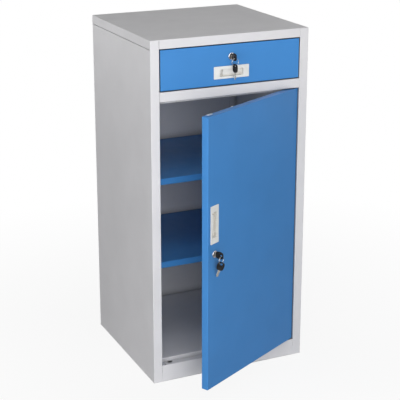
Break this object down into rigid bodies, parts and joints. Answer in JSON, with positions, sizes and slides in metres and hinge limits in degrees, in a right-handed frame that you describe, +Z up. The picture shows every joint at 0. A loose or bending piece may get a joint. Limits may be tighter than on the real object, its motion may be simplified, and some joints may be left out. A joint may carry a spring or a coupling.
{
  "type": "workshop cabinet",
  "caption": "Free-standing sheet-steel workshop cabinet with a locking drawer over a hinged door, adjustable shelves behind it, recessed pulls and keyed locks.",
  "frame": {"origin": "middle of the carcass's footprint, on the floor", "axes": "+Z up, the front with the drawer and door faces -Y, +X is to the right seen from the front"},
  "size_m": [0.48, 0.6571, 1],
  "materials": {
    "grey_paint": "light grey powder coat, satin",
    "blue_paint": "sky blue powder coat, satin",
    "cream_plastic": "moulded, satin",
    "chrome": "bright plated",
    "zinc_steel": "zinc plated",
    "key_steel": "nickel plated",
    "key_plastic": "moulded, black",
    "nylon": "natural nylon",
    "black_nylon": "black nylon",
    "rubber": "grey, matte"
  },
  "bodies": {
    "cabinet": {"left_side_panel": "grey_paint", "right_side_panel": "grey_paint", "back_panel": "grey_paint", "top_panel": "grey_paint", "mid_rail": "grey_paint", "bottom_rail": "grey_paint", "bottom_panel": "grey_paint", "divider_panel": "grey_paint", "upper_shelf": "blue_paint", "lower_shelf": "blue_paint", "left_shelf_upright": "grey_paint", "right_shelf_upright": "grey_paint", "shelf_clips": "zinc_steel", "left_slide_bracket": "grey_paint", "right_slide_bracket": "grey_paint", "left_slide_outer": "zinc_steel", "right_slide_outer": "zinc_steel", "slide_rivets": "zinc_steel", "upper_hinge_pin": "zinc_steel", "lower_hinge_pin": "zinc_steel", "door_buffers": "rubber"},
    "slide_middles": {"left_slide_middle": "zinc_steel", "right_slide_middle": "zinc_steel", "slide_ball_cages": "zinc_steel"},
    "drawer": {"drawer_front": "blue_paint", "drawer_inner_front": "grey_paint", "drawer_tray": "grey_paint", "drawer_back": "grey_paint", "drawer_handle": "cream_plastic", "drawer_lock_housing": "chrome", "drawer_lock_nut": "zinc_steel", "left_slide_inner": "zinc_steel", "right_slide_inner": "zinc_steel", "drawer_slide_rivets": "zinc_steel"},
    "drawer_lock": {"drawer_lock_plug": "chrome", "drawer_lock_cam": "zinc_steel", "drawer_cam_screw": "zinc_steel"},
    "drawer_key": {"drawer_key_blade": "key_steel", "drawer_key_bow": "key_plastic", "drawer_key_ring": "key_steel"},
    "drawer_spare_key": {"drawer_spare_blade": "key_steel", "drawer_spare_bow": "key_plastic"},
    "door": {"door_panel": "blue_paint", "door_stiffener": "blue_paint", "door_handle": "cream_plastic", "door_lock_housing": "chrome", "door_lock_nut": "zinc_steel", "upper_hinge_bush": "black_nylon", "lower_hinge_bush": "black_nylon", "upper_rod_guide": "nylon", "lower_rod_guide": "nylon"},
    "door_lock": {"door_lock_plug": "chrome", "door_lock_rotor": "zinc_steel"},
    "upper_rod": {"upper_latch_rod": "zinc_steel"},
    "lower_rod": {"lower_latch_rod": "zinc_steel"},
    "door_key": {"door_key_blade": "key_steel", "door_key_bow": "key_plastic", "door_key_ring": "key_steel"},
    "door_spare_key": {"door_spare_blade": "key_steel", "door_spare_bow": "key_plastic"}
  },
  "joints": [
    {"name": "door_hinge", "type": "hinge", "parent": "cabinet", "child": "door", "pos_m": [0.202, -0.2195, 0], "axis": [0, 0, 1], "range_deg": [-28, 82]},
    {"name": "door_lock_turn", "type": "hinge", "parent": "door", "child": "door_lock", "pos_m": [-0.13579, -0.40534, 0.446], "axis": [-0.4695, 0.8829, 0], "range_deg": [0, 90]},
    {"name": "upper_rod_slide", "type": "slide", "parent": "door", "child": "upper_rod", "axis": [0, 0, 1], "range_m": [0, 0.012]},
    {"name": "lower_rod_slide", "type": "slide", "parent": "door", "child": "lower_rod", "axis": [0, 0, -1], "range_m": [0, 0.0121]},
    {"name": "door_key_pull", "type": "slide", "parent": "door_lock", "child": "door_key", "axis": [0.4695, -0.8829, 0], "range_m": [0, 0.05]},
    {"name": "door_spare_hang", "type": "hinge", "parent": "door_key", "child": "door_spare_key", "pos_m": [-0.12495, -0.42573, 0.4337], "axis": [-0.4695, 0.8829, 0], "range_deg": [-90, 0]},
    {"name": "drawer_slide", "type": "slide", "parent": "cabinet", "child": "drawer", "axis": [0, -1, 0], "range_m": [0, 0.36]},
    {"name": "slide_middle_travel", "type": "slide", "parent": "cabinet", "child": "slide_middles", "axis": [0, -1, 0], "range_m": [0, 0.18]},
    {"name": "drawer_lock_turn", "type": "hinge", "parent": "drawer", "child": "drawer_lock", "pos_m": [0, -0.225, 0.939], "axis": [0, 1, 0], "range_deg": [0, 90]},
    {"name": "drawer_key_pull", "type": "slide", "parent": "drawer_lock", "child": "drawer_key", "axis": [0, -1, 0], "range_m": [0, 0.05]},
    {"name": "drawer_spare_hang", "type": "hinge", "parent": "drawer_key", "child": "drawer_spare_key", "pos_m": [0, -0.2481, 0.9267], "axis": [0, 1, 0], "range_deg": [-90, 0]}
  ],
  "couplings": [
    {"joint": "lower_rod_slide", "follows": "upper_rod_slide", "ratio": 1},
    {"joint": "door_lock_turn", "follows": "upper_rod_slide", "rad_per_m": 130.9},
    {"joint": "door_spare_hang", "follows": "upper_rod_slide", "rad_per_m": -130.9},
    {"joint": "slide_middle_travel", "follows": "drawer_slide", "ratio": 0.5},
    {"joint": "drawer_spare_hang", "follows": "drawer_lock_turn", "ratio": -1}
  ]
}
